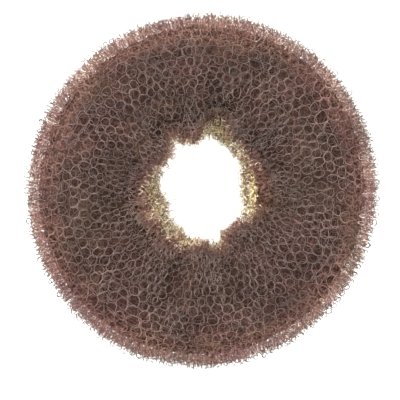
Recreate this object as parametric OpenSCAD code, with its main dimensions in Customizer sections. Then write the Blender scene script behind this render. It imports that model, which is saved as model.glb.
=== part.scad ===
// Hair donut bun maker: a soft ring of lofty knitted net, rolled up on itself, with the edges
// of the sheet brought together and bonded inside the centre hole. The ring lies flat on the
// base plane, its axis on Z. Ring angles run round Z. Section angles run round the section:
// 0 at the rim, 90 on top, 180 at the hole and 270 on the base.

/* [Ring] */
// Mean outer diameter, over the tips of the net
ring_d = 90; // [82:1:110]
// Height of the ring as it lies
ring_h = 32; // [28:1:38]
// Diameter of the hole at its upper lip, between the folds
hole_d = 28; // [24:1:32]
// How far the outline is drawn out along its long axis, as a share of its radius
oval_share = 0.008; // [0:0.002:0.02]
// Ring angle of the outline's long axis
oval_angle = 59; // [0:1:180]

/* [Outer wrap] */
// Thickness of the wrap, over all its lofty layers of net
wrap_t = 7; // [5:0.5:8]
// Gap between the two edges of the sheet, under the seam band
edge_gap = 0.8; // [0.4:0.1:1.6]

/* [Inner roll] */
// Thickness of one rolled layer of net
layer_t = 2.2; // [1.6:0.1:3]
// Gap between the rolled layers
layer_gap = 0.4; // [0.3:0.1:0.8]
// Half the hollow left in the middle of the roll
core_r = 0.8; // [0.6:0.1:1.5]

/* [Seam band] */
// Width of the hole inside the seam band, along X
seam_w = 19.5; // [16:0.5:22]
// Length of the hole inside the seam band, along Y
seam_l = 26; // [22:0.5:30]
// Thickness of the bonded net of the seam band
band_t = 2.4; // [1.6:0.1:3]

/* [Clearance] */
// Gap between the wrap and the piece that lies against it
fit_gap = 0.4; // [0.3:0.1:0.8]

/* [Hidden] */

// The folds, one a row: ring angle, half width in degrees, first and last section angle, and
// depth as a share of the wrap's thickness. A crease is above zero and a lobe below.
FOLDS = [
    [75, 15, 95, 205, 0.62],
    [85, 7, 40, 215, 0.34],
    [100, 14, 100, 200, -0.54],
    [121, 6, 60, 210, 0.34],
    [140, 30, 100, 200, -0.60],
    [205, 45, 165, 245, -0.14],
    [214, 20, 100, 200, -0.12],
    [253, 8, 45, 210, 0.30],
    [270, 16, 100, 200, -0.38],
    [288, 7, 45, 210, 0.42],
    [310, 32, 100, 200, -0.62],
    [346, 22, 100, 210, 0.16],
];

// How the hole inside the seam band strays from an oval, one stretch a row: ring angle, half
// width in degrees, and depth as a share of the oval's radius. The hole is wider above zero.
STRETCHES = [
    [35, 40, 0.05],
    [122, 20, 0.16],
    [150, 30, 0.25],
    [176, 26, 0.08],
    [215, 20, 0.035],
    [245, 24, -0.10],
    [278, 14, 0.05],
    [322, 32, 0.18],
];

// Sections round the ring, and points round the outer and the inner face of the wrap
ring_steps = 88;
outer_steps = 36;
inner_steps = 16;
// Section angle of the slit between the sheet's edges
slit_angle = 210;
// Section angles where the hole's wall turns from the upper lip to the wall behind the band
upper_lip_angle = 168;
lower_lip_angle = 194;
// First and last section angle of the seam band, and the steps between them
band_first_angle = 181;
band_last_angle = 230;
band_steps = 5;
// The band's thickness at its two edges, as a share of its middle
edge_share = 0.35;
// Half the section angle of the flat on which the ring rests, two steps of the outer face
rest_angle = 2 * 360 / outer_steps;
// The roll's points in each turn
roll_steps = 24;

axis_r = (ring_d + hole_d) / 4;
axis_h = ring_h * cos(rest_angle) / (1 + cos(rest_angle));
half_w = (ring_d - hole_d) / 4;
half_h = ring_h - axis_h;
roll_w = half_w - wrap_t - fit_gap;
roll_h = half_h - wrap_t - fit_gap;
roll_pitch = layer_t + layer_gap;
roll_turns = (min(roll_w, roll_h) - layer_t - core_r) / roll_pitch;

// A smooth rise from 0 at the first value to 1 at the last
function rise(x, first, last) =
    let (t = min(max((x - first) / (last - first), 0), 1))
    t * t * (3 - 2 * t);

// 1 in the middle of a stretch, falling smoothly to 0 at its ends and beyond them
function hump(x, middle, half) =
    abs(x - middle) < half ? (1 + cos(180 * (x - middle) / half)) / 2 : 0;

// An angle brought within half a turn of another
function near(angle, other) = angle - 360 * round((angle - other) / 360);

// The sum of a list
function total(list) = list * [for (item = list) 1];

// Radius of the outline, and of the hole inside the seam band, at a ring angle
function rim_r(a) = ring_d / 2 * (1 + oval_share * cos(2 * (a - oval_angle)));
function seam_r(a) = (1 + seam_stretch(a)) / norm([cos(a) / (seam_w / 2), sin(a) / (seam_l / 2)]);
function seam_stretch(a) = total([
    for (stretch = STRETCHES)
        let (turn = stretch[0], half = stretch[1], depth = stretch[2])
        depth * hump(near(a, turn), turn, half)
]);

// Half width of the section towards the hole: the upper lip's, then the wall's behind the band
function hole_w(a, f) =
    let (low = rise(f, upper_lip_angle, lower_lip_angle), wall = seam_r(a) + band_t + fit_gap)
    half_w * (1 - low) + (wall - axis_r) / cos(lower_lip_angle) * low;

// Half width of the section at a ring angle and a section angle, before its folds
function side_w(a, f) = cos(f) > 0 ? rim_r(a) - axis_r : hole_w(a, f);

// How deep all folds together cut the wrap at one place
function fold_depth(a, f) = total([
    for (fold = FOLDS)
        let (turn = fold[0], half = fold[1], first = fold[2], last = fold[3], depth = fold[4])
        depth * wrap_t
        * hump(near(a, turn), turn, half)
        * hump(f, (first + last) / 2, (last - first) / 2)
]);

// A point of the wrap's outer face as radius and height, lifted off it by out
function outer_point(a, f_any, out = 0) =
    let (
        f = near(f_any, 180),
        point = [side_w(a, f) * cos(f), half_h * sin(f)],
        moved = point * (1 + (out - fold_depth(a, f)) / norm(point))
    )
    [axis_r + moved[0], max(axis_h + moved[1], 0)];

// A point of the wrap's inner face, which the roll lies against
function inner_point(f) =
    [axis_r + (half_w - wrap_t) * cos(f), axis_h + (half_h - wrap_t) * sin(f)];

// Section angles once round from one edge of the sheet to the other
function sheet_angles(steps, edge) =
    [for (k = [0 : steps])
        slit_angle + min(max(360 * k / steps, edge), 360 - edge)];

// Half the slit as a section angle, at a distance from the section's centre
function slit_half(r) = asin(edge_gap / 2 / r);

function wrap_section(a) = concat(
    [for (f = sheet_angles(outer_steps, slit_half(half_w))) outer_point(a, f)],
    [for (f = sheet_angles(inner_steps, slit_half(half_w - wrap_t))) inner_point(2 * slit_angle - f)]
);

// The band's front swells between two thin edges, and its back follows the wrap
function band_angle(k) = band_first_angle + (band_last_angle - band_first_angle) * k / band_steps;
function band_section(a) = concat(
    [for (k = [0 : band_steps])
        let (swell = sqrt(1 - pow(2 * k / band_steps - 1, 2)))
        outer_point(a, band_angle(k), fit_gap + band_t * (edge_share + (1 - edge_share) * swell))],
    [for (k = [band_steps : -1 : 0]) outer_point(a, band_angle(k), fit_gap)]
);

// Joins one section at each step round the ring into a closed solid
module section_ring(sections) {
    n = len(sections[0]);
    rings = len(sections);
    polyhedron(
        points = [for (i = [0 : rings - 1], point = sections[i])
            let (a = 360 * i / rings)
            [point[0] * cos(a), point[0] * sin(a), point[1]]],
        faces = [for (i = [0 : rings - 1], j = [0 : n - 1])
            let (i2 = (i + 1) % rings, j2 = (j + 1) % n)
            each [
                [i * n + j, i * n + j2, i2 * n + j2],
                [i * n + j, i2 * n + j2, i2 * n + j]
            ]],
        convexity = 10
    );
}

// The lofty outer layers, slit on the hole side where the sheet's edges meet
module outer_wrap() {
    color([0.38, 0.30, 0.27])
        section_ring([for (i = [0 : ring_steps - 1]) wrap_section(360 * i / ring_steps)]);
}

// The sheet rolled up inside, from its edge at the slit inwards
module inner_roll() {
    last = floor(roll_turns * roll_steps);
    face = function (in, k)
        let (
            f = slit_angle + 360 * k / roll_steps,
            deep = in + roll_pitch * k / roll_steps
        )
        [axis_r + (roll_w - deep) * cos(f), axis_h + (roll_h - deep) * sin(f)];
    color([0.20, 0.15, 0.13])
        rotate_extrude($fn = ring_steps)
            polygon(concat(
                [for (k = [0 : last]) face(0, k)],
                [for (k = [last : -1 : 0]) face(layer_t, k)]
            ));
}

// The bonded edges of the sheet, a band round the lower wall of the hole
module seam_band() {
    color([0.72, 0.62, 0.42])
        section_ring([for (i = [0 : ring_steps - 1]) band_section(360 * i / ring_steps)]);
}

outer_wrap();
inner_roll();
seam_band();
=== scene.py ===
"""The looks of a hair donut bun maker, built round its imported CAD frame.

The ring is a roll of lofty knitted net. Three layers of loops lie over close-packed net and a
rolled core, and a golden band of bonded net lines the hole. Lengths are in metres. The ring
lies on z = 0 with its axis on Z. Ring angles run round Z. Section angles run round the
section: 0 at the rim, a quarter turn on top and half a turn at the hole.
"""

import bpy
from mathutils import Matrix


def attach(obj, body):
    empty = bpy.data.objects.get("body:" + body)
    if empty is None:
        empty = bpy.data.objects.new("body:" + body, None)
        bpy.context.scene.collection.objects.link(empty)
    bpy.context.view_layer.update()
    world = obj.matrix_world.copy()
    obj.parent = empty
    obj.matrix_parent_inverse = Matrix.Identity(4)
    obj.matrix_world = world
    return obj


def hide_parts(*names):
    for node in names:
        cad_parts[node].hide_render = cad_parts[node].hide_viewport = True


bl_info = {
    "name": "Lofty net hair donut",
    "version": (1, 0, 0),
    "blender": (4, 5, 0),
    "location": "3D View > Sidebar > Hair Donut",
    "description": "Dresses a hair donut bun maker in lofty knitted net",
    "category": "Add Mesh",
}

import math
from functools import partial

import bpy
import numpy as np
from bpy.props import FloatProperty, FloatVectorProperty, IntProperty, PointerProperty
from bpy.types import Operator, Panel, PropertyGroup
from mathutils import Vector
from mathutils.bvhtree import BVHTree

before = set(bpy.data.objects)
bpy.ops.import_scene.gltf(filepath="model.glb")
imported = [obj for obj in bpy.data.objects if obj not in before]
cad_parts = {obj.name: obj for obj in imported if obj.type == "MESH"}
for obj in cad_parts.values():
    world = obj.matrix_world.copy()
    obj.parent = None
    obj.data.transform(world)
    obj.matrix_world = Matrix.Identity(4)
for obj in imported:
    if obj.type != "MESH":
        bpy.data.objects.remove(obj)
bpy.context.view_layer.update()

MM = 0.001
FULL_TURN = 2 * math.pi
HALF_TURN = math.pi

# The CAD node that most pieces stand for and their slot, and the same for the seam's pieces
WRAP = ("outer_wrap", "brown_net")
SEAM = ("seam_band", "golden_seam")

# Steps of the grid on which a skin is measured
RING_STEPS = 264
SECTION_STEPS = 180
# Where the rays start, out from the centre line: past the folds, short of the ring's far side
RAY_START = 23 * MM
# Half the angle over which a skin's slope is measured
SLOPE_STEP = math.radians(2)

# Waves in an uneven drift, and how often one repeats round the ring and round the section
WAVES = 9
RING_WAVES = (2, 15)
SECTION_WAVES = (-5, 6)
# Where the net in the hole lies deeper, in millimetres. These stretches and those below are
# each given by a ring angle and half width in degrees, and a value in the middle
HOLLOWS = (
    (45, 42, 0.5), (82, 16, 0.3), (121, 14, 0.5), (230, 40, 0.2), (290, 22, 0.6), (326, 12, 0.5))

# Least and most of a loop's width and height, as shares of its natural size, and the most of
# its height as a share of its width
LEAST_SIZE = 0.45
MOST_WIDE = 1.3
MOST_TALL = 1.15
MOST_SLIM = 1.25
# How strongly crowding crumples and tilts a loop, and how strongly jitter tilts and
# stretches it
CROWDED_CRUMPLE = 3
CROWDED_LEAN = 0.7
JITTER_LEAN = 0.9
JITTER_STRETCH = 0.7
# What a point tells the net tree about its loop, and how many loops the tree picks from
MARKS = (("turn", "FLOAT_VECTOR"), ("reach", "FLOAT_VECTOR"), ("crumple", "FLOAT"))
VARIANTS = 6
# A fine wobble's length and its stray for each crumple, as shares of the tree's own inputs
FINE_WOBBLE = 0.35
CRUMPLE_STRAY = 1.6

# How much closer together a net's rows lie in the hole, and further apart at the rim
ROW_SHIFT = 0.28
# How much of a deep layer's painted shade its sides take on
SIDE_DEEP = 0.85

# Small curls in the hole: how many fit round the ring and round the section, how far they
# stand out on average and at most, and how deep they root
CURL_WALES = 96
CURL_ROWS = 40
CURL_OUT = 0.9 * MM
CURL_MOST_OUT = 2.3 * MM
CURL_ROOT = 0.6 * MM

# How far the strands' hue drifts from place to place, as a share of the colour wheel
HUE_DRIFT = 0.014
# Between which angles off the vertical the sides' colour takes over, and how much sooner it does so
# at the rim. The sides' colour is painted light: the redder glow of net lit from behind and seen
# edge-on
SIDE_START = math.radians(38)
SIDE_END = math.radians(74)
RIM_LEAD = math.radians(20)
# How much patches and flecks change the brightness, how much stronger flecks are at the sides,
# where they paint the glints and shade of crowded strands, and the darkest that they get
TONE_GAIN = 2.0
SIDE_FLECK = 2.5
DARKEST = 0.15
NYLON_IOR = 1.53
# Cells of the close net whose lines show on packed surfaces
CELL_SIZES = (1.5 * MM, 0.9 * MM)
# Scale of the strands' finest relief, and its height
RELIEF_SCALE = 9000.0
RELIEF_HEIGHT = 0.05 * MM

# The camera: millimetres of object a pixel shows, and the pixel of the ring's axis
PHOTO_SIZE = 400
MM_PER_PIXEL = 0.2535
AXIS_PIXEL = (202.0, 190.4)
LENS = 200.0
SENSOR = 36.0


def length_setting(label, description, default, least, most):
    """A length among the settings, given here in millimetres."""
    return FloatProperty(
        name=label, description=description, default=default * MM, min=least * MM,
        max=most * MM, unit="LENGTH", precision=5)


def colour_setting(label, description, default):
    """A colour among the settings."""
    return FloatVectorProperty(
        name=label, description=description, default=default, min=0.0, max=1.0,
        subtype="COLOR")


class NetSizes(PropertyGroup):
    """Sizes of the brown net."""

    wales: IntProperty(
        name="Wales", description="Loops in one row round the ring", default=76, min=40, max=90)
    rows: IntProperty(
        name="Rows", description="Rows of loops round the section", default=46, min=24, max=56)
    strand: length_setting("Strand", "Diameter of the nylon strand", 0.115, 0.08, 0.4)
    drop: length_setting("Drop", "How deep one loop winds into the ring", 1.1, 0.2, 3)
    crown: length_setting("Crown", "How far the strand rises and falls within a loop", 1.5, 0, 3)
    wobble: length_setting("Wobble", "How far a strand strays from its even curve", 0.34, 0, 1)
    layer_depth: length_setting(
        "Layer depth", "Depth of each layer below the one above", 1.4, 1, 3)
    natural: length_setting(
        "Natural loop", "Diameter of a loop that is neither stretched nor crowded", 2.45, 1, 4)
    proud: length_setting(
        "Proud loops", "How far the loops at the rim stand out of the ring", 0.45, 0, 2)
    packed_hole: length_setting(
        "Packed below, hole", "Depth in the hole where the net packs close", 1.0, 0.5, 6)
    packed_top: length_setting(
        "Packed below, top", "Depth on top where the net packs close", 3.5, 1, 6)
    packed_rim: length_setting(
        "Packed below, rim", "Depth at the rim where the net packs close", 3.0, 1, 8)


class SeamSizes(PropertyGroup):
    """Sizes of the golden seam inside the hole."""

    wales: IntProperty(
        name="Wales", description="Loops in one row round the hole", default=66, min=40, max=90)
    rows: IntProperty(
        name="Rows", description="Rows of loops across the band", default=8, min=4, max=14)
    strand: length_setting("Strand", "Diameter of the bonded strand", 0.16, 0.1, 0.5)


class NetColours(PropertyGroup):
    """Colours of the strands."""

    top: colour_setting("Top", "Strands that face up or down", (0.210, 0.155, 0.141))
    # Painted light: the rim and lip colours stand for the redder glow of net lit from behind and
    # seen edge-on
    rim: colour_setting("Rim", "Strands of the net near the rim", (0.310, 0.167, 0.139))
    bristle: colour_setting(
        "Bristle", "Loops that stand out at the rim", (0.220, 0.108, 0.080))
    tip: colour_setting("Tip", "Thin loops at the very outline", (0.115, 0.093, 0.072))
    lip: colour_setting("Lip", "Crowded strands at the lip of the hole", (0.280, 0.139, 0.099))
    # Painted shade: the lower layers are the same nylon as the top, drawn darker
    deep: colour_setting("Deep", "Strands of the lower layers", (0.054, 0.029, 0.022))
    # Painted shade: the packed net and the core are the same nylon, drawn almost black
    core: colour_setting(
        "Core", "The packed net and the rolled core", (0.0285, 0.0151, 0.0112))
    # Painted light: pale strands stand for thin net lit through from behind
    pale: colour_setting("Pale", "Thin net with light behind it", (0.850, 0.700, 0.610))
    gold: colour_setting("Gold", "Pale strands of the seam", (0.880, 0.745, 0.480))
    # Painted light: cream stands for the seam lit through from behind
    cream: colour_setting("Cream", "Seam with light behind it", (0.950, 0.880, 0.700))
    olive: colour_setting("Olive", "Darker strands of the seam", (0.215, 0.160, 0.034))


class StageSizes(PropertyGroup):
    """The floor and the light."""

    floor_size: FloatProperty(
        name="Floor size", description="Side of the pale floor",
        default=3.0, min=0.5, max=10.0, unit="LENGTH")
    floor_glow: FloatProperty(
        name="Floor glow", description="Light of the floor, as on a light table",
        default=1.0, min=0.0, max=3.0)
    room_light: FloatProperty(
        name="Room light", description="Light from all round", default=1.0, min=0.0, max=3.0)
    lamp_power: FloatProperty(
        name="Lamp power", description="Power of the main soft lamp",
        default=6.0, min=0.0, max=100.0, unit="POWER")


def node_mesh(node):
    """Points and triangles of a CAD node."""
    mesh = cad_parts[node].data
    mesh.calc_loop_triangles()
    points = [vertex.co.copy() for vertex in mesh.vertices]
    triangles = [tuple(triangle.vertices) for triangle in mesh.loop_triangles]
    return points, triangles


def centre_line():
    """Radius and height of the line that the section turns round, from the rolled core."""
    points, _ = node_mesh("inner_roll")
    radii = [math.hypot(point.x, point.y) for point in points]
    heights = [point.z for point in points]
    return (min(radii) + max(radii)) / 2, (min(heights) + max(heights)) / 2


CENTRE_R, CENTRE_H = centre_line()


class Skin:
    """The outside of CAD nodes, as a distance from the centre line at any two angles."""

    def __init__(self, *nodes, smoothings=1):
        trees = [BVHTree.FromPolygons(*node_mesh(node)) for node in nodes]
        rings = [FULL_TURN * i / RING_STEPS for i in range(RING_STEPS)]
        sections = [FULL_TURN * j / SECTION_STEPS for j in range(SECTION_STEPS)]
        rows = [[self.measure(trees, a, f) for f in sections] for a in rings]
        self.grid = np.array([self.closed(np.array(row)) for row in rows])
        for _ in range(smoothings):
            for axis in (0, 1):
                beside = np.roll(self.grid, 1, axis) + np.roll(self.grid, -1, axis)
                self.grid = self.grid / 2 + beside / 4

    @staticmethod
    def measure(trees, ring, section):
        """Distance from the centre line to the outermost node along one ray, or nan at a slit."""
        level = Vector((math.cos(ring), math.sin(ring), 0.0))
        out = level * math.cos(section) + Vector((0.0, 0.0, math.sin(section)))
        centre = level * CENTRE_R + Vector((0.0, 0.0, CENTRE_H))
        hits = [tree.ray_cast(centre + out * RAY_START, -out, RAY_START)[3] for tree in trees]
        return RAY_START - min([hit for hit in hits if hit is not None], default=math.nan)

    @staticmethod
    def closed(row):
        """One row of distances with its gaps filled from both sides."""
        missing = np.isnan(row)
        steps = np.arange(len(row))
        return np.interp(steps, steps[~missing], row[~missing], period=len(row))

    def reach(self, ring, section):
        """The distance at any angles, between the grid's own."""
        i = np.asarray(ring) / FULL_TURN * RING_STEPS
        j = np.asarray(section) / FULL_TURN * SECTION_STEPS
        i_low = np.floor(i).astype(int)
        j_low = np.floor(j).astype(int)
        i_part = i - i_low
        j_part = j - j_low
        columns = (j_low % SECTION_STEPS, (j_low + 1) % SECTION_STEPS)
        low, high = (
            self.grid[row, columns[0]] * (1 - j_part) + self.grid[row, columns[1]] * j_part
            for row in (i_low % RING_STEPS, (i_low + 1) % RING_STEPS))
        return low * (1 - i_part) + high * i_part

    def points(self, ring, section, lift=0.0):
        """Points at these angles, lifted off the skin along their ray."""
        out = self.reach(ring, section) + lift
        radius = CENTRE_R + out * np.cos(section)
        height = CENTRE_H + out * np.sin(section)
        return np.stack([radius * np.cos(ring), radius * np.sin(ring), height], axis=-1)

    def slopes(self, ring, section):
        """Steps along the ring and round the section, each for one radian."""
        along = self.points(ring + SLOPE_STEP, section) - self.points(ring - SLOPE_STEP, section)
        across = self.points(ring, section + SLOPE_STEP) - self.points(ring, section - SLOPE_STEP)
        return along / (2 * SLOPE_STEP), across / (2 * SLOPE_STEP)


def unit(vectors):
    """The same directions, each of length one."""
    return vectors / np.linalg.norm(vectors, axis=-1, keepdims=True)


def euler_angles(x_axis, y_axis, z_axis):
    """XYZ Euler angles of frames given by their axes."""
    about_y = -np.arcsin(np.clip(x_axis[:, 2], -1, 1))
    about_x = np.arctan2(y_axis[:, 2], z_axis[:, 2])
    about_z = np.arctan2(x_axis[:, 1], x_axis[:, 0])
    return np.stack([about_x, about_y, about_z], axis=-1)


def wander(ring, section, seed, size):
    """A smooth uneven drift over the ring, the same again after each full turn."""
    rng = np.random.default_rng(seed)
    drift = np.zeros_like(ring)
    for _ in range(WAVES):
        round_ring = rng.integers(*RING_WAVES)
        round_section = rng.integers(*SECTION_WAVES)
        phase = rng.uniform(0, FULL_TURN)
        drift += np.sin(round_ring * ring + round_section * section + phase)
    return drift * size / math.sqrt(WAVES)


def humps(ring, stretches):
    """The sum of smooth humps, one for each stretch."""
    total = np.zeros_like(ring)
    for middle, half, top in stretches:
        away = np.abs((ring - math.radians(middle) + HALF_TURN) % FULL_TURN - HALF_TURN)
        share = np.clip(away / math.radians(half), 0, 1)
        total += top * (1 + np.cos(HALF_TURN * share)) / 2
    return total


def hollow_depth(ring):
    """How deep the net in the hole lies below its skin."""
    return humps(ring, HOLLOWS) * MM


def chances(ring, seed):
    """A share from 0 to 1 for each loop, by chance."""
    return np.random.default_rng(seed).uniform(0, 1, len(ring))


def loop_sizes(along, across, loop, natural):
    """Half width and half height of loops that fit their room, and how crowded each one is.

    loop is a loop's size in radians along the ring and round the section. Where the room is
    past the limits at the top of the script, loops overlap or leave gaps.
    """
    room_wide = np.linalg.norm(along, axis=-1) * loop[0]
    room_tall = np.linalg.norm(across, axis=-1) * loop[1]
    wide = np.clip(room_wide, LEAST_SIZE * natural, MOST_WIDE * natural)
    tall = np.clip(room_tall, LEAST_SIZE * natural, MOST_TALL * natural)
    tall = np.minimum(tall, MOST_SLIM * wide)
    crowding = np.clip((natural - room_wide) / natural, 0.0, 1.0)
    return wide / 2, tall / 2, crowding


def places_mesh(
        skin, ring, section, loop, depth, jitter, seed, standing=None, crumple=0.0, level=None):
    """A mesh of bare points, one for each loop, that hold its turn, its reach and its crumple.

    depth is one for all loops or one for each. jitter is the share by which size and tilt
    differ, and crumple is added to the one that crowding gives. A loop winds inwards on local
    Z. A standing loop, of the width and height given, has that axis across the rows, so that
    it rises from the net. level is a share for each loop, by which it is turned to lie level.
    """
    natural = bpy.context.scene.donut_net.natural
    rng = np.random.default_rng(seed)
    along, across = skin.slopes(ring, section)
    wide, tall, crowding = loop_sizes(along, across, loop, natural)
    crumple = crumple + crowding ** 2 * CROWDED_CRUMPLE
    x_axis = unit(along)
    inwards = -unit(np.cross(along, across))
    winding = inwards
    if level is not None:
        upright = np.sign(inwards) * (0, 0, 1)
        winding = unit(inwards * (1 - level[:, None]) + upright * level[:, None])
    count = len(ring)
    if standing:
        wide = np.full(count, standing[0] / 2)
        tall = np.full(count, standing[1] / 2)
        winding = unit(across)
    lean = jitter * JITTER_LEAN + crowding[:, None] * CROWDED_LEAN
    lean = rng.normal(0, 1, (count, 2)) * lean
    winding = unit(winding + x_axis * lean[:, :1] + unit(np.cross(winding, x_axis)) * lean[:, 1:])
    y_axis = unit(np.cross(winding, x_axis))
    x_axis = np.cross(y_axis, winding)
    size = 1 + rng.normal(0, jitter, count)
    stretch = 1 + rng.normal(0, jitter * JITTER_STRETCH, count)
    reach = np.stack([wide * size * stretch, tall * size / stretch, np.ones(count)], axis=-1)
    points = skin.points(ring, section) + inwards * np.asarray(depth)[..., None]
    mesh = bpy.data.meshes.new("places")
    mesh.from_pydata(points.tolist(), [], [])
    marks = (euler_angles(x_axis, y_axis, winding), reach, crumple)
    for (label, kind), values in zip(MARKS, marks):
        attribute = mesh.attributes.new(label, kind, "POINT")
        field = "value" if kind == "FLOAT" else "vector"
        attribute.data.foreach_set(field, values.astype(np.float32).ravel())
    return mesh


def net_rows(wales, rows, first=0.0, last=FULL_TURN, stagger=0.5):
    """Ring and section angles of a net's loops, every second row a stagger on from the rest."""
    row = np.repeat(np.arange(rows), wales)
    wale = np.tile(np.arange(wales), rows)
    ring = (wale + stagger * (row % 2)) / wales * FULL_TURN
    section = first + (row + 0.5) / rows * (last - first)
    return ring, section


def new_group(name, kind, inputs, outputs):
    """An empty node group, with each of its sockets given as its name, kind and default."""
    tree = bpy.data.node_groups.new(name, kind)
    for in_out, sockets in (("INPUT", inputs), ("OUTPUT", outputs)):
        for label, socket_kind, default in sockets:
            socket = tree.interface.new_socket(
                name=label, in_out=in_out, socket_type="NodeSocket" + socket_kind)
            if default is not None:
                socket.default_value = default
    return tree


def set_inputs(tree, node, inputs):
    """Gives a node's inputs, by name or number, a value or a link each."""
    for label, value in inputs.items():
        if isinstance(value, bpy.types.NodeSocket):
            tree.links.new(value, node.inputs[label])
        else:
            node.inputs[label].default_value = value


def add_node(tree, kind, inputs=None, **settings):
    """A new node with its inputs and its settings."""
    made = tree.nodes.new(kind)
    for label, value in settings.items():
        setattr(made, label, value)
    set_inputs(tree, made, inputs or {})
    return made


def add_output(tree, kind, inputs=None, output=0, **settings):
    """One output of a new node, for those after it to link to."""
    return add_node(tree, kind, inputs, **settings).outputs[output]


def do_math(tree, operation, first, second=0.0, clamp=False):
    """One sum on two numbers, each a value or a link."""
    return add_output(
        tree, "ShaderNodeMath", {0: first, 1: second}, operation=operation, use_clamp=clamp)


def loop_variants(tree, given):
    """Loops of unit radius that start at different angles, every second one wound backwards."""
    node = partial(add_output, tree)
    calc = partial(do_math, tree)
    spiral = node("GeometryNodeCurveSpiral", {
        "Resolution": given["Points"], "Rotations": given["Turns"], "Start Radius": 1.0,
        "End Radius": given["Taper"], "Height": given["Drop"],
    })
    place = add_node(tree, "ShaderNodeSeparateXYZ", {0: node("GeometryNodeInputPosition")}).outputs
    x_square = calc("MULTIPLY", place[0], place[0])
    y_square = calc("MULTIPLY", place[1], place[1])
    to_side = calc("DIVIDE", y_square, calc("ADD", x_square, y_square))
    lowered = node("ShaderNodeCombineXYZ", {"Z": calc("MULTIPLY", to_side, given["Crown"])})
    joined = add_node(tree, "GeometryNodeJoinGeometry")
    for k in range(VARIANTS):
        turned = node("GeometryNodeTransform", {
            "Geometry": spiral,
            "Rotation": (0.0, 0.0, FULL_TURN * k / VARIANTS),
            "Scale": (1.0, 1.0 - 2.0 * (k % 2), 1.0),
        })
        crowned = node("GeometryNodeSetPosition", {"Geometry": turned, "Offset": lowered})
        one = node("GeometryNodeGeometryToInstance", {0: crowned})
        tree.links.new(one, joined.inputs[0])
    return joined.outputs[0]


def lofty_net_tree():
    """The node tree that sets a wound loop at each point of a mesh, built once."""
    name = "Lofty net"
    if name in bpy.data.node_groups:
        return bpy.data.node_groups[name]
    inputs = (
        ("Places", "Geometry", None),
        ("Strand", "Float", 0.2 * MM),
        ("Turns", "Float", 1.3),
        ("Points", "Int", 7),
        ("Taper", "Float", 0.8),
        ("Drop", "Float", 1.0 * MM),
        ("Crown", "Float", 1.0 * MM),
        ("Wobble", "Float", 0.2 * MM),
        ("Wobble Size", "Float", 1.5 * MM),
        ("Seed", "Int", 1),
        ("Material", "Material", None),
    )
    tree = new_group(name, "GeometryNodeTree", inputs, (("Net", "Geometry", None),))
    given = tree.nodes.new("NodeGroupInput").outputs
    node = partial(add_output, tree)
    calc = partial(do_math, tree)
    turn, reach, crumple = (
        node("GeometryNodeInputNamedAttribute", {"Name": label}, data_type=kind)
        for label, kind in MARKS)
    # inputs 4 and 5 and output 2 are those for whole numbers
    pick = node(
        "FunctionNodeRandomValue", {4: 0, 5: VARIANTS - 1, "Seed": given["Seed"]}, output=2,
        data_type="INT")
    placed = node("GeometryNodeInstanceOnPoints", {
        "Points": given["Places"],
        "Instance": loop_variants(tree, given),
        "Pick Instance": True,
        "Instance Index": pick,
        "Rotation": node("FunctionNodeEulerToRotation", {0: turn}),
        "Scale": reach,
    })
    strayed = node("GeometryNodeRealizeInstances", {"Geometry": placed})
    wobbles = (
        # length of a wobble, and how far it strays, each as a share of the inputs
        (1.0, 2.0),
        (FINE_WOBBLE, calc("MULTIPLY", crumple, CRUMPLE_STRAY)),
    )
    for length, share in wobbles:
        scale = calc("DIVIDE", 1.0 / length, given["Wobble Size"])
        noise = node("ShaderNodeTexNoise", {"Scale": scale, "Detail": 1.0}, output="Color")
        centred = node("ShaderNodeVectorMath", {0: noise, 1: (0.5, 0.5, 0.5)}, operation="SUBTRACT")
        amount = calc("MULTIPLY", given["Wobble"], share)
        stray = node("ShaderNodeVectorMath", {0: centred, "Scale": amount}, operation="SCALE")
        strayed = node("GeometryNodeSetPosition", {"Geometry": strayed, "Offset": stray})
    place = add_node(tree, "ShaderNodeSeparateXYZ", {0: node("GeometryNodeInputPosition")}).outputs
    half_strand = calc("MULTIPLY", given["Strand"], 0.5)
    height = calc("MAXIMUM", place[2], half_strand)
    above_floor = node("ShaderNodeCombineXYZ", {0: place[0], 1: place[1], 2: height})
    rested = node("GeometryNodeSetPosition", {"Geometry": strayed, "Position": above_floor})
    profile = node("GeometryNodeCurvePrimitiveCircle", {"Resolution": 3, "Radius": half_strand})
    tubes = node(
        "GeometryNodeCurveToMesh", {"Curve": rested, "Profile Curve": profile, "Fill Caps": True})
    smooth = node("GeometryNodeSetShadeSmooth", {"Geometry": tubes})
    whole = node("GeometryNodeRealizeInstances", {"Geometry": smooth})
    finished = node("GeometryNodeSetMaterial", {"Geometry": whole, "Material": given["Material"]})
    add_node(tree, "NodeGroupOutput", {0: finished})
    return tree


def add_object(name, data):
    """An object in the scene, at the origin."""
    made = bpy.data.objects.new(name, data)
    bpy.context.scene.collection.objects.link(made)
    return made


def keep_as(piece, node, slot):
    """Makes a finished piece ride on the ring and stand for its CAD node."""
    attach(piece, "root")
    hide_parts(node)


def grow_net(name, places, keep=WRAP, **values):
    """Turns bare places into a finished piece of net.

    The values are for the net tree's inputs. A net has the brown net's sizes unless told.
    """
    sizes = bpy.context.scene.donut_net
    shared = ("strand", "drop", "crown", "wobble")
    values = {label: getattr(sizes, label) for label in shared} | values
    piece = add_object(name, places)
    modifier = piece.modifiers.new("Lofty net", "NODES")
    modifier.node_group = lofty_net_tree()
    for item in modifier.node_group.interface.items_tree:
        if item.in_out == "INPUT" and item.name.lower() in values:
            modifier[item.identifier] = values[item.name.lower()]
    graph = bpy.context.evaluated_depsgraph_get()
    mesh = bpy.data.meshes.new_from_object(piece.evaluated_get(graph))
    piece.modifiers.remove(modifier)
    piece.data = mesh
    bpy.data.meshes.remove(places)
    mesh.name = name
    for label, _ in MARKS:
        if label in mesh.attributes:
            mesh.attributes.remove(mesh.attributes[label])
    keep_as(piece, *keep)


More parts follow.
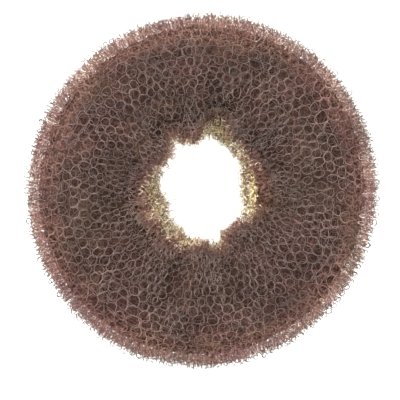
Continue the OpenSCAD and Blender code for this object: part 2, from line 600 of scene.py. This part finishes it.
def strand_colour_group():
    """Shader group: a strand's colour, roughness and relief, by where it lies on the ring. Its
    colour at the sides is painted light.
    """
    name = "Strand colour"
    if name in bpy.data.node_groups:
        return bpy.data.node_groups[name]
    inputs = (
        ("Plain", "Color", None),
        ("Outside", "Color", None),
        ("Inside", "Color", None),
        ("Patch Size", "Float", 9 * MM),
        ("Fleck Size", "Float", 0.6 * MM),
        ("Fleck Strength", "Float", 0.6),
        ("Roughness", "Float", 0.55),
        ("Relief", "Float", 0.3),
        ("Mesh Strength", "Float", 0.0),
    )
    outputs = (("Colour", "Color", None), ("Roughness", "Float", None), ("Normal", "Vector", None))
    tree = new_group(name, "ShaderNodeTree", inputs, outputs)
    given = tree.nodes.new("NodeGroupInput").outputs
    node = partial(add_output, tree)
    calc = partial(do_math, tree)
    spot = node("ShaderNodeTexCoord", output="Object")

    def noise(scale, detail):
        """A noise over the ring, from 0 to 1."""
        values = {"Vector": spot, "Scale": scale, "Detail": detail}
        return node("ShaderNodeTexNoise", values, output="Fac")

    def mix(share, plain, other):
        """A blend of two colours. Inputs 6 and 7 and output 2 are those for colours."""
        return node("ShaderNodeMix", {0: share, 6: plain, 7: other}, output=2, data_type="RGBA")

    def ramp(value, start, end, low=0.0, high=1.0, kind="SMOOTHSTEP"):
        """A rise or fall from one level to another between two values."""
        return node("ShaderNodeMapRange", {
            "Value": value, "From Min": start, "From Max": end, "To Min": low, "To Max": high,
        }, interpolation_type=kind)

    place = add_node(tree, "ShaderNodeSeparateXYZ", {0: spot}).outputs
    x_square = calc("MULTIPLY", place[0], place[0])
    y_square = calc("MULTIPLY", place[1], place[1])
    radius = calc("SQRT", calc("ADD", x_square, y_square))
    outwards = calc("SUBTRACT", radius, CENTRE_R)
    upwards = calc("ABSOLUTE", calc("SUBTRACT", place[2], CENTRE_H))
    angle = calc("ARCTAN2", calc("ABSOLUTE", outwards), upwards)
    outside = calc("GREATER_THAN", outwards, 0.0)
    angle = calc("ADD", angle, calc("MULTIPLY", outside, RIM_LEAD))
    # Painted light: towards the sides the colour turns to the redder one of net lit from behind
    sideways = ramp(angle, SIDE_START, SIDE_END)
    side = mix(outside, given["Inside"], given["Outside"])
    patch = calc("SUBTRACT", noise(calc("DIVIDE", 1.0, given["Patch Size"]), 3.0), 0.5)
    fleck = calc("SUBTRACT", noise(calc("DIVIDE", 1.0, given["Fleck Size"]), 2.0), 0.5)
    patchy_side = calc("ADD", sideways, patch, clamp=True)
    ground = mix(patchy_side, given["Plain"], side)
    # Stronger flecks at the sides: painted glints and shade of crowded strands
    side_fleck = calc("ADD", 1.0, calc("MULTIPLY", patchy_side, SIDE_FLECK))
    change = calc("ADD", patch, calc("MULTIPLY", fleck, side_fleck))
    change = calc("MULTIPLY", calc("MULTIPLY", change, TONE_GAIN), given["Fleck Strength"])
    flecked = calc("MAXIMUM", DARKEST, calc("ADD", 1.0, change))
    lines = []
    for size in CELL_SIZES:
        edge = node(
            "ShaderNodeTexVoronoi", {"Vector": spot, "Scale": 1.0 / size}, output="Distance",
            feature="DISTANCE_TO_EDGE")
        lines.append(ramp(edge, 0.01, 0.10, 1.0, 0.0))
    cells = calc("MULTIPLY", calc("MAXIMUM", *lines), given["Mesh Strength"])
    tint = node("ShaderNodeTexNoise", {
        "Vector": spot, "Scale": calc("DIVIDE", 0.6, given["Patch Size"]), "Detail": 1.0,
        "W": 3.0,
    }, output="Fac", noise_dimensions="4D")
    colour = node("ShaderNodeHueSaturation", {
        "Hue": ramp(tint, 0.3, 0.7, 0.5 - HUE_DRIFT, 0.5 + HUE_DRIFT, kind="LINEAR"),
        "Saturation": 1.0,
        "Value": calc("MULTIPLY", flecked, calc("ADD", 1.0, cells)),
        "Color": ground,
    })
    bump = node("ShaderNodeBump", {
        "Strength": given["Relief"],
        "Distance": RELIEF_HEIGHT,
        "Height": calc("ADD", noise(RELIEF_SCALE, 2.0), cells),
    })
    add_node(tree, "NodeGroupOutput", {
        "Colour": colour,
        "Roughness": calc("ADD", given["Roughness"], calc("MULTIPLY", fleck, 0.5), clamp=True),
        "Normal": bump,
    })
    return tree


def strand_material(name, colours, shine=0.15, **values):
    """A satin nylon strand. Its colours are those on top, at the rim and in the hole; the rim's and
    the hole's are painted light where they differ from the top's.

    The values are for the other inputs of the shader group, with _ for a space. The mesh
    strength is how strongly the lines of a close net show on a surface that stands for one.
    """
    material = bpy.data.materials.new(name)
    material.use_nodes = True
    tree = material.node_tree
    inputs = {label.replace("_", " ").title(): value for label, value in values.items()}
    for label, colour in zip(("Plain", "Outside", "Inside"), colours):
        inputs[label] = (*colour, 1.0)
    look = add_node(tree, "ShaderNodeGroup", inputs, node_tree=strand_colour_group()).outputs
    set_inputs(tree, tree.nodes["Principled BSDF"], {
        "Base Color": look["Colour"], "Roughness": look["Roughness"], "Normal": look["Normal"],
        "Specular IOR Level": shine, "IOR": NYLON_IOR,
    })
    return material


def tone(name):
    """One of the colours among the settings."""
    return Vector(getattr(bpy.context.scene.donut_colours, name))


def brown_strand(name, share, rim="rim", lip_shade_share=0.0):
    """The brown net's material, from the top layer's colours at share 0 to the deep one's at 1. The
    share is painted shade: lower layers are drawn darker.

    rim names the colour at the rim, and the lip's share is added to the share at the lip, as
    painted shade there.
    """
    deep = tone("deep")
    return strand_material(name, (
        tone("top").lerp(deep, share),
        tone(rim).lerp(deep, share * SIDE_DEEP),
        tone("lip").lerp(deep, share * SIDE_DEEP + lip_shade_share),
    ))


def backlit_strand(name, golden=0.0):
    """Strands painted pale as painted light: thin net with light shining through it. golden is
    their share of gold.
    """
    colour = tone("pale").lerp(tone("gold"), golden) * (1 - 0.2 * golden)
    return strand_material(name, [colour] * 3, fleck_size=0.9 * MM, fleck_strength=0.8)


def drifted_net(wales, rows, seed, drift):
    """Angles of a net all round the ring, whose wales and rows wander by a share of a loop.

    Its rows lie closer together in the hole than at the rim.
    """
    ring, section = net_rows(wales, rows)
    section = section + ROW_SHIFT * np.sin(section)
    ring = ring + wander(ring, section, seed, drift * FULL_TURN / wales)
    section = section + wander(ring, section, seed + 1, drift * FULL_TURN / rows)
    return ring, section


class HAIRDONUT_OT_outer_net(Operator):
    """Knit the outermost net: a top and a base, the rim between them and its standing loops"""

    bl_idname = "hairdonut.outer_net"
    bl_label = "Outer net"

    # Half the section angle round the rim where the net lies closer
    RIM_ANGLE = math.radians(40)
    # Section angles between which the net thins out at the hole's lip, and the share left out
    THIN_SECTIONS = (138, 152, 208, 222)
    THIN_SHARES = (0, 0.45, 0.45, 0)
    # How far a loop is turned to lie level, in full where the section angle's cosine is at
    # least the second value
    LEVEL_SHARE = 0.6
    LEVEL_COSINE = 0.7
    # Standing loops round the rim, their first section angle and how far their rows stray
    COLUMNS = 140
    FIRST_SECTION = math.radians(-50)
    ROW_STRAY = 0.08
    # Where few pale loops, painted light of net lit from behind, show at the rim, and the share of
    # them that is brown instead. Below, that share anywhere, and towards the top, where it grows
    # from the section angle on
    DARK_STRETCHES = ((245, 75, 0.75), (90, 40, 0.5))
    DARK_SHARE = 0.15
    DARK_SECTION = 16
    DARK_TOP_SHARE = 0.6

    def execute(self, context):
        sizes = context.scene.donut_net
        skin = Skin("outer_wrap")
        ring, section = drifted_net(sizes.wales, sizes.rows, seed=11, drift=0.35)
        # Darker at the lip of the hole: painted shade
        material = brown_strand("Brown outer strand", 0.0, lip_shade_share=0.4)
        thinned = np.interp(section, np.radians(self.THIN_SECTIONS), self.THIN_SHARES)
        kept = (np.cos(section) < math.cos(self.RIM_ANGLE)) & (chances(ring, 13) > thinned)
        loop = (1.06 * FULL_TURN / sizes.wales, 1.16 * FULL_TURN / sizes.rows)
        for name, side, seed in (("outer_net_top", 1, 21), ("outer_net_base", -1, 22)):
            part = kept & (side * np.sin(section) > 0)
            cosine = np.abs(np.cos(section[part]))
            places = places_mesh(
                skin, ring[part], section[part], loop, depth=0.1 * MM, jitter=0.12, seed=seed,
                level=self.LEVEL_SHARE * np.clip(cosine / self.LEVEL_COSINE, 0, 1))
            grow_net(name, places, turns=1.2, points=9, taper=0.88, seed=3, material=material)
        self.rim_net(skin, material)
        self.rim_loops(sizes, skin)
        return {"FINISHED"}

    def rim_net(self, skin, material):
        """The outermost net round the rim, where its loops are smaller and crumpled."""
        wales = 118
        rows = 12
        ring, section = net_rows(wales, rows, -self.RIM_ANGLE, self.RIM_ANGLE)
        ring = ring + wander(ring, section, 17, 0.4 * FULL_TURN / wales)
        section = section + wander(ring, section, 18, 0.35 * 2 * self.RIM_ANGLE / rows)
        loop = (1.1 * FULL_TURN / wales, 2.5 * self.RIM_ANGLE / rows)
        places = places_mesh(
            skin, ring, section, loop, depth=0.1 * MM, jitter=0.2, seed=24, crumple=0.4)
        grow_net("rim_net", places, taper=0.85, seed=8, material=material)

    def rim_loops(self, sizes, skin):
        """Small loops that stand out all round the rim: brown columns, with others between."""
        bristle = brown_strand("Brown rim strand", 0.0, rim="bristle")
        # The pale loops between the columns are painted light, for net lit from behind
        pale = backlit_strand("Pale rim strand")
        tip_strand = brown_strand("Brown tip strand", 0.0, rim="tip")
        sets = (
            # name, rows, last section angle, width and height of a loop, depth of its tip,
            # columns that it is set on by, crumple, material
            ("rim_loops", 8, 34, 1.5 * MM, 1.5 * MM, -sizes.proud, 0.0, 0.2, tip_strand),
            ("rim_loops_below", 8, 38, 1.3 * MM, 2.2 * MM, 1.0 * MM, 0.0, 1.0, bristle),
            ("rim_loops_between", 9, 36, 1.3 * MM, 2.5 * MM, 0.7 * MM, 0.5, 1.0, bristle),
            ("pale_rim_loops", 9, 36, 1.3 * MM, 2.5 * MM, 0.7 * MM, 0.5, 1.0, pale),
        )
        column = FULL_TURN / self.COLUMNS
        for name, rows, last, width, height, tip, offset, crumple, strand in sets:
            ring, section = net_rows(
                self.COLUMNS, rows, self.FIRST_SECTION, math.radians(last), stagger=0.0)
            uneven = 0.12 + 0.35 * np.sin(ring) ** 4
            ring = ring + wander(ring, section, 15, uneven * column)
            stray = np.random.default_rng(14).uniform(-self.ROW_STRAY, self.ROW_STRAY, len(ring))
            section = section + stray
            ring = ring + offset * column
            if offset:
                upper = np.interp(
                    section, np.radians((self.DARK_SECTION, last)), (0, self.DARK_TOP_SHARE))
                dark = self.DARK_SHARE + humps(ring, self.DARK_STRETCHES) + upper
                kept = (chances(ring, 16) > dark) == (strand is pale)
                ring, section = ring[kept], section[kept]
            places = places_mesh(
                skin, ring, section, (column, FULL_TURN / sizes.rows), depth=height / 2 + tip,
                jitter=0.1 + 0.15 * crumple, seed=23, standing=(width, height), crumple=crumple)
            grow_net(
                name, places, strand=sizes.strand * 1.15, points=8, drop=0.9 * MM, crown=0.0,
                seed=9, material=strand)


def curl_places(rows, first, last, seed):
    """Uneven ring and section angles for small curls in the hole, between two section angles."""
    ring, section = net_rows(CURL_WALES, rows, math.radians(first), math.radians(last))
    return ring + wander(ring, section, seed, FULL_TURN / CURL_WALES), section


def standing_curls(name, skin, ring, section, seed, **values):
    """Small curls that stand out into the hole. Most are short, and a few are long."""
    out = np.random.default_rng(seed).exponential(CURL_OUT, len(ring))
    out = np.minimum(out, CURL_MOST_OUT)
    height = out + CURL_ROOT
    places = places_mesh(
        skin, ring, section, (FULL_TURN / CURL_WALES, FULL_TURN / CURL_ROWS),
        depth=hollow_depth(ring) + height / 2 - out, jitter=0.3, seed=seed,
        standing=(0.5 * MM + 0.3 * height, height))
    grow_net(
        name, places, turns=1.15, taper=0.85, drop=0.6 * MM, crown=0.0, wobble=0.4 * MM,
        seed=seed, **values)


class HAIRDONUT_OT_lip_net(Operator):
    """Knit the crumpled net at the lip of the hole, which hangs over the seam at the folds"""

    bl_idname = "hairdonut.lip_net"
    bl_label = "Lip net"

    # Section angle to which the lip reaches, in degrees, and the angle by which curls may
    # stand past that
    LIP_SECTION = 176
    CURL_PAST = math.radians(6)
    # Where the lip hangs over the seam, or stands back from it below zero, in degrees
    OVERHANGS = ((128, 52, 50), (308, 24, 46), (205, 26, 12), (8, 50, 10), (74, 20, -18))
    # Where the lip's net lets the outer net show, and the share left out
    OPEN_STRETCHES = ((0, 50, 0.9),)
    # Where the lip has few pale curls, which are painted light of net lit from behind, and the
    # share left out. Below, that share anywhere
    DARK_STRETCHES = ((5, 55, 0.8), (95, 30, 0.5), (300, 30, 0.6))
    DARK_SHARE = 0.25

    def execute(self, context):
        wales = 112
        rows = 17
        first = math.radians(136)
        last = math.radians(222)
        ring, section = net_rows(wales, rows, first, last)
        ring = ring + wander(ring, section, 71, FULL_TURN / wales)
        kept = self.above_seam(ring, section) & (
            chances(ring, 73) > humps(ring, self.OPEN_STRETCHES))
        ring, section = ring[kept], section[kept]
        loop = (1.3 * FULL_TURN / wales, 1.3 * (last - first) / rows)
        skin = Skin("outer_wrap", "seam_band")
        # A touch darker than the top layer: painted shade
        brown = brown_strand("Brown lip strand", 0.04)
        deeper = np.interp(section, np.radians((150, 175)), (0, 1))
        places = places_mesh(
            skin, ring, section, loop, depth=hollow_depth(ring) * deeper, jitter=0.3, seed=72)
        grow_net(
            "lip_net", places, strand=context.scene.donut_net.strand * 1.2, turns=1.2,
            drop=0.9 * MM, crown=0.6 * MM, seed=12, material=brown)
        self.lip_curls(skin, brown)
        return {"FINISHED"}

    def above_seam(self, ring, section):
        """Where the lip's net lies over the wrap, or hangs over the seam."""
        return np.degrees(section) < self.LIP_SECTION + humps(ring, self.OVERHANGS)

    def lip_curls(self, skin, brown):
        """Small curls that stand out of the lip into the hole, brown ones among pale ones, which
        are painted light.
        """
        pale = backlit_strand("Pale lip strand", golden=0.6)
        for name, rows, first, last, seed, material in (
                ("lip_curls", 11, 144, 208, 74, brown),
                ("pale_lip_curls", 7, 150, 190, 75, pale),
        ):
            ring, section = curl_places(rows, first, last, seed)
            kept = self.above_seam(ring, section - self.CURL_PAST)
            if material is pale:
                dark = self.DARK_SHARE + humps(ring, self.DARK_STRETCHES)
                kept = kept & (chances(ring, seed) > dark)
            standing_curls(name, skin, ring[kept], section[kept], seed, material=material)


class HAIRDONUT_OT_under_nets(Operator):
    """Knit the two layers of net that show through the outermost one"""

    bl_idname = "hairdonut.under_nets"
    bl_label = "Under nets"

    def execute(self, context):
        sizes = context.scene.donut_net
        skin = Skin("outer_wrap")
        layers = (
            # name, layers below the outer one, share of its wales and rows, and darkness, which is
            # painted shade
            ("second_net", 1, 0.82, 0.55),
            ("third_net", 2, 0.60, 0.75),
        )
        # Each lower layer is a darker copy of the brown strand: painted shade
        for name, layer, share, layer_shade in layers:
            wales = round(sizes.wales * share)
            rows = round(sizes.rows * share)
            ring, section = drifted_net(wales, rows, seed=30 + layer, drift=0.7)
            loop = (1.1 * FULL_TURN / wales, 1.2 * FULL_TURN / rows)
            places = places_mesh(
                skin, ring, section, loop, depth=layer * sizes.layer_depth, jitter=0.2,
                seed=40 + layer)
            grow_net(
                name, places, turns=1.5, points=6, taper=0.75, wobble=sizes.wobble * 1.3,
                seed=4 + layer, material=brown_strand(name + " strand", layer_shade))
        return {"FINISHED"}


def ring_grid(rings, steps):
    """Numbers of a grid's steps, round the ring and round the section."""
    return np.meshgrid(np.arange(rings), np.arange(steps), indexing="ij")


def close_ring(name, skin, depth, knots, rings, sections, material):
    """A closed ring whose face lies a depth below a skin, with the relief of knitted loops.

    depth is a function of both angles, and knots is how unevenly the net is packed.
    """
    i, j = ring_grid(rings, sections)
    ring = i / rings * FULL_TURN
    section = j / sections * FULL_TURN
    sizes = bpy.context.scene.donut_net
    stitches = np.cos(sizes.wales * ring) * np.cos(sizes.rows / 2 * section)
    relief = 0.16 * MM * (stitches - 1) - np.abs(wander(ring, section, 51, 0.25 * MM))
    relief = relief - np.random.default_rng(52).uniform(0, knots, ring.shape)
    return ring_piece(name, skin.points(ring, section, relief - depth(ring, section)), material)


def ring_piece(name, points, material):
    """A closed piece from a grid of points: round the ring, then round its section."""
    rings, sections, _ = points.shape
    i, j = ring_grid(rings, sections)
    here = i * sections + j
    beside = (i + 1) % rings * sections + j
    above = i * sections + (j + 1) % sections
    corner = (i + 1) % rings * sections + (j + 1) % sections
    faces = np.stack([here, beside, corner, above], axis=-1).reshape(-1, 4)
    mesh = bpy.data.meshes.new(name)
    mesh.from_pydata(points.reshape(-1, 3).tolist(), [], faces.tolist())
    mesh.shade_smooth()
    mesh.materials.append(material)
    return add_object(name, mesh)


def dark_net(name):
    """Net packed close, shown as one knotted mass whose dark colour is painted shade."""
    core = tone("core")
    tones = (core, core.lerp(tone("bristle"), 0.2), core.lerp(tone("lip"), 0.12))
    return strand_material(
        name, tones, shine=0.05, patch_size=7 * MM, fleck_size=0.7 * MM, roughness=0.9,
        relief=1.0, mesh_strength=1.6)


class HAIRDONUT_OT_packed_net(Operator):
    """Model the wrap's lowest layers, packed close: shallow in the hole, deep on top"""

    bl_idname = "hairdonut.packed_net"
    bl_label = "Packed net"

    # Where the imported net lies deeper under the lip, in millimetres. Below, the section angles
    # at which it does, with the share of that depth
    RECESSES = ((0, 50, 2.2),)
    RECESS_SECTIONS = ((160, 30, 1.0),)

    def execute(self, context):
        sizes = context.scene.donut_net

        def depth(ring, section):
            depths = (sizes.packed_hole, sizes.packed_top, sizes.packed_rim)
            even = np.interp(np.cos(section), (-1, 0, 1), depths)
            return even + humps(ring, self.RECESSES) * humps(section, self.RECESS_SECTIONS) * MM

        piece = close_ring(
            "packed_net", Skin("outer_wrap"), depth, knots=1.2 * MM, rings=240, sections=88,
            material=dark_net("Packed net"))
        keep_as(piece, "outer_wrap", "dark_net")
        return {"FINISHED"}


class HAIRDONUT_OT_rolled_core(Operator):
    """Model the rolled core inside the wrap, with the step of its sheet's edge"""

    bl_idname = "hairdonut.rolled_core"
    bl_label = "Rolled core"

    def execute(self, context):
        piece = close_ring(
            "rolled_core", Skin("inner_roll", smoothings=0), lambda ring, section: 0.0, knots=0.0,
            rings=120, sections=40, material=dark_net("Rolled net"))
        keep_as(piece, "inner_roll", "dark_net")
        return {"FINISHED"}


def seam_strip(name, skin, front, back, first, last, material):
    """A closed band between two depths below a skin, from one section angle to another."""
    rings = 240
    steps = 9
    section = np.linspace(first, last, steps)
    around = np.concatenate([section, section[::-1]])
    depth = np.repeat((front, back), steps)
    i, j = ring_grid(rings, 2 * steps)
    ring = i / rings * FULL_TURN
    relief = np.random.default_rng(55).uniform(0, 0.8 * MM, (rings, steps))
    relief = np.concatenate([relief, relief[:, ::-1]], axis=1)
    points = skin.points(ring, around[j], -depth[j] - relief - hollow_depth(ring))
    return ring_piece(name, points, material)


class HAIRDONUT_OT_seam_net(Operator):
    """Knit the bonded band inside the hole: gold, olive and cream loops over a knotted strip, the
    cream ones painted light
    """

    bl_idname = "hairdonut.seam_net"
    bl_label = "Seam net"

    # Where the seam climbs a crease, in degrees
    CLIMBS = ((74, 20, 18),)
    # Where the seam has fewer curls, and the share left out
    OPEN_STRETCHES = ((55, 35, 0.35),)

    def execute(self, context):
        sizes = context.scene.donut_seam
        skin = Skin("outer_wrap", "seam_band")
        first = math.radians(179)
        last = math.radians(232)
        ring, section = net_rows(sizes.wales, sizes.rows, first, last)
        climb = np.radians(humps(ring, self.CLIMBS))
        section = section - climb * (last - section) / (last - first)
        loop = (1.25 * FULL_TURN / sizes.wales, 1.35 * (last - first) / sizes.rows)
        gold = tone("gold")
        olive = tone("olive")
        strip = seam_strip(
            "seam_strip", skin, 1.0 * MM, 1.7 * MM, math.radians(180), math.radians(228),
            self.material(
                "Bonded net", gold.lerp(olive, 0.6), fleck_strength=1.0, relief=1.0,
                mesh_strength=0.8))
        keep_as(strip, *SEAM)
        layers = (
            # name, depth, share of the strand's thickness, colour and seed
            ("seam_net_gold", 0.1 * MM, 1.1, gold, 61),
            ("seam_net_olive", 0.4 * MM, 1.0, olive, 62),
            # Cream loops: painted light of the seam lit from behind
            ("seam_net_cream", 0.0, 1.3, tone("cream"), 63),
        )
        for name, depth, thickness, colour, seed in layers:
            drift = wander(ring, section, seed, FULL_TURN / sizes.wales)
            uneven = np.random.default_rng(seed).uniform(-0.4 * MM, 0.6 * MM, len(ring))
            places = places_mesh(
                skin, ring + drift, section, loop, depth + uneven + hollow_depth(ring),
                jitter=0.3, seed=seed)
            grow_net(
                name, places, SEAM, strand=sizes.strand * thickness, points=8, drop=0.7 * MM,
                crown=0.5 * MM, wobble=0.35 * MM, seed=seed,
                material=self.material(name.replace("_", " ").capitalize(), colour))
        ring, section = curl_places(5, 182, 214, seed=78)
        kept = chances(ring, 77) > humps(ring, self.OPEN_STRETCHES)
        standing_curls(
            "seam_curls", skin, ring[kept], section[kept], 78, keep=SEAM,
            strand=sizes.strand * 0.7, material=self.material("Seam curl", gold.lerp(olive, 0.55)))
        return {"FINISHED"}

    @staticmethod
    def material(name, colour, fleck_strength=0.5, relief=0.4, mesh_strength=0.0):
        """Bonded strands of one colour, flecked."""
        return strand_material(
            name, [colour] * 3, shine=0.2, patch_size=2.2 * MM, roughness=0.5, relief=relief,
            fleck_strength=fleck_strength, mesh_strength=mesh_strength)


def floor_material(glow):
    """A pale floor that gives light of its own, as a light table does."""
    material = bpy.data.materials.new("Pale floor")
    material.use_nodes = True
    tree = material.node_tree
    set_inputs(tree, tree.nodes["Principled BSDF"], {
        "Base Color": (0.8, 0.8, 0.8, 1.0), "Roughness": 1.0, "Specular IOR Level": 0.0,
        "Emission Color": (1.0, 1.0, 1.0, 1.0), "Emission Strength": glow,
    })
    return material


def add_lamp(name, place, aim, size, power):
    """A soft square lamp, which the camera doesn't see."""
    data = bpy.data.lights.new(name, "AREA")
    data.size = size
    data.energy = power
    lamp = add_object(name, data)
    lamp.location = place
    lamp.rotation_euler = (Vector(aim) - Vector(place)).to_track_quat("-Z", "Y").to_euler()
    lamp.visible_camera = False


def add_camera():
    """The photograph's view: straight down, with the ring a little above the frame's middle."""
    data = bpy.data.cameras.new("Camera")
    data.lens = LENS
    data.sensor_width = SENSOR
    data.clip_start = 0.01
    data.clip_end = 20.0
    camera = add_object("Camera", data)
    frame_width = PHOTO_SIZE * MM_PER_PIXEL * MM
    right = (PHOTO_SIZE / 2 - AXIS_PIXEL[0]) * MM_PER_PIXEL * MM
    up = (AXIS_PIXEL[1] - PHOTO_SIZE / 2) * MM_PER_PIXEL * MM
    camera.location = (right, up, CENTRE_H + frame_width * LENS / SENSOR)
    bpy.context.scene.camera = camera


class HAIRDONUT_OT_stage(Operator):
    """Lay the pale floor and set the soft light and the camera"""

    bl_idname = "hairdonut.stage"
    bl_label = "Stage"

    def execute(self, context):
        scene = context.scene
        sizes = scene.donut_stage
        half = sizes.floor_size / 2
        corners = [(-half, -half, 0.0), (half, -half, 0.0), (half, half, 0.0), (-half, half, 0.0)]
        mesh = bpy.data.meshes.new("floor")
        mesh.from_pydata(corners, [], [(0, 1, 2, 3)])
        mesh.materials.append(floor_material(sizes.floor_glow))
        floor = add_object("floor", mesh)
        world = bpy.data.worlds.new("Soft studio")
        world.use_nodes = True
        set_inputs(world.node_tree, world.node_tree.nodes["Background"], {
            "Color": (1.0, 1.0, 1.0, 1.0), "Strength": sizes.room_light,
        })
        scene.world = world
        middle = (0.0, 0.0, CENTRE_H)
        add_lamp("Main lamp", (-0.25, 0.30, 0.55), middle, 0.35, sizes.lamp_power)
        add_lamp("Fill lamp", (0.35, -0.20, 0.45), middle, 0.45, sizes.lamp_power * 0.4)
        scene.view_settings.view_transform = "Standard"
        scene.view_settings.look = "None"
        add_camera()
        return {"FINISHED"}


OPERATORS = (
    HAIRDONUT_OT_outer_net,
    HAIRDONUT_OT_lip_net,
    HAIRDONUT_OT_under_nets,
    HAIRDONUT_OT_packed_net,
    HAIRDONUT_OT_rolled_core,
    HAIRDONUT_OT_seam_net,
    HAIRDONUT_OT_stage,
)
SETTINGS = {
    "donut_net": NetSizes,
    "donut_seam": SeamSizes,
    "donut_colours": NetColours,
    "donut_stage": StageSizes,
}


class HAIRDONUT_PT_panel(Panel):
    """Lists the sizes, the colours and the pieces"""

    bl_label = "Hair Donut"
    bl_space_type = "VIEW_3D"
    bl_region_type = "UI"
    bl_category = "Hair Donut"

    def draw(self, context):
        for name, settings in SETTINGS.items():
            box = self.layout.box()
            for label in settings.__annotations__:
                box.prop(getattr(context.scene, name), label)
        for operator in OPERATORS:
            self.layout.operator(operator.bl_idname)


CLASSES = (*SETTINGS.values(), *OPERATORS, HAIRDONUT_PT_panel)


def register():
    for each in CLASSES:
        bpy.utils.register_class(each)
    for name, settings in SETTINGS.items():
        setattr(bpy.types.Scene, name, PointerProperty(type=settings))


def unregister():
    for name in SETTINGS:
        delattr(bpy.types.Scene, name)
    for each in reversed(CLASSES):
        bpy.utils.unregister_class(each)


def main():
    register()
    bpy.ops.hairdonut.outer_net()
    bpy.ops.hairdonut.lip_net()
    bpy.ops.hairdonut.under_nets()
    bpy.ops.hairdonut.packed_net()
    bpy.ops.hairdonut.rolled_core()
    bpy.ops.hairdonut.seam_net()
    bpy.ops.hairdonut.stage()


if __name__ == "__main__":
    main()
